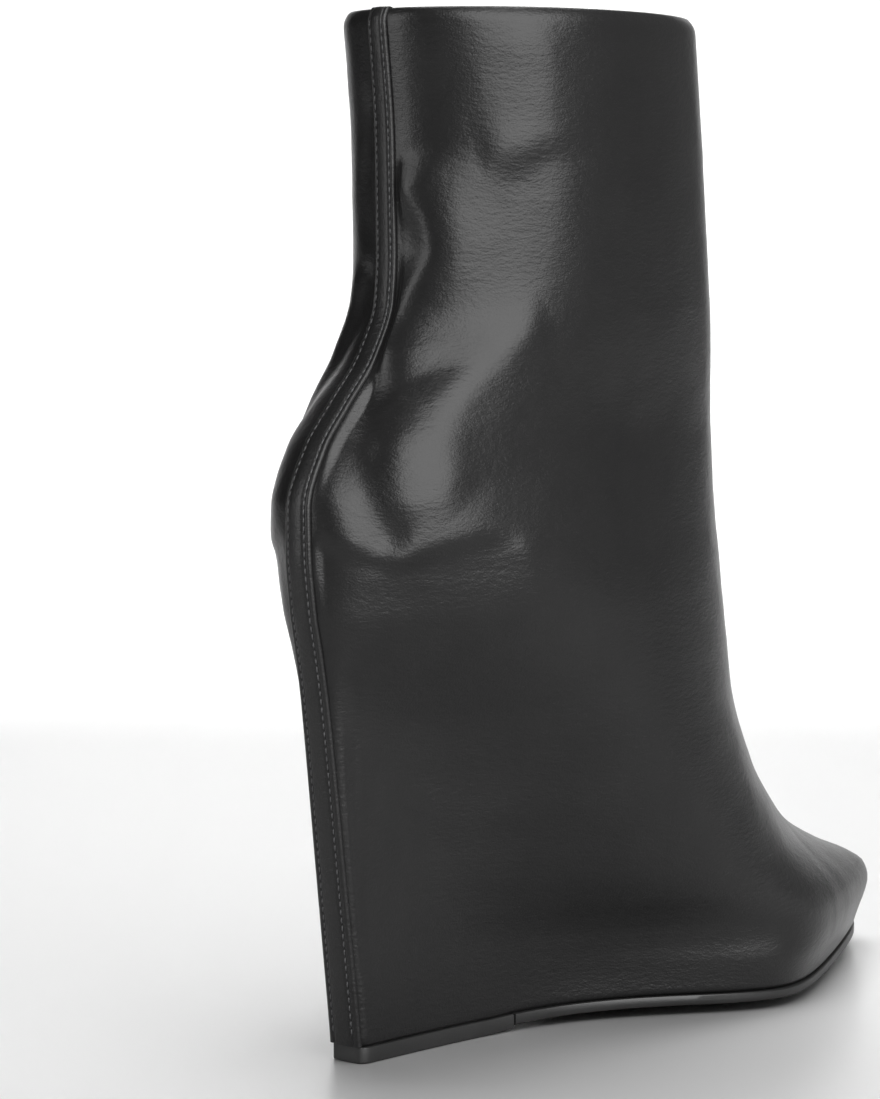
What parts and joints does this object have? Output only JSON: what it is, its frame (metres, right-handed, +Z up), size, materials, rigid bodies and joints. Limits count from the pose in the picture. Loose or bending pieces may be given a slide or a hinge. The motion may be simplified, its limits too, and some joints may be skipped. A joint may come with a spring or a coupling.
{
  "type": "wedge ankle boot",
  "caption": "Pointed ankle boot in smooth black leather, with a covered high wedge, a thin sole, a strip up the back and an inner side zip.",
  "frame": {"origin": "on the ground, at the middle of the heel's flat ground face", "axes": "+X towards the toe, +Y towards the wearer's left, which is the inner side with the zip, +Z up"},
  "size_m": [0.2411, 0.0943, 0.2682],
  "materials": {
    "black_leather": "black calf leather, smooth, polished, fine grain and soft creases",
    "insole_leather": "black lining leather, matt, very fine grain",
    "wedge_core": "moulded heel plastic, hidden by the leather",
    "black_rubber": "black rubber, satin, cut edge",
    "zip_tape_fabric": "black woven zip tape, matt",
    "dark_metal": "dark gunmetal plating, satin with bright edges"
  },
  "bodies": {
    "boot": {"upper": "black_leather", "insole": "insole_leather", "wedge_core": "wedge_core", "outsole": "black_rubber", "top_piece": "black_rubber", "back_strip": "black_leather", "zip_tape": "zip_tape_fabric", "zip_slider": "dark_metal"},
    "pull": {"zip_pull": "dark_metal"}
  },
  "joints": [
    {"name": "pull_swing", "type": "hinge", "parent": "boot", "child": "pull", "pos_m": [0.03998, 0.0415, 0.25842], "axis": [0.9912, 0.038, 0.127], "range_deg": [-17, 150]}
  ]
}
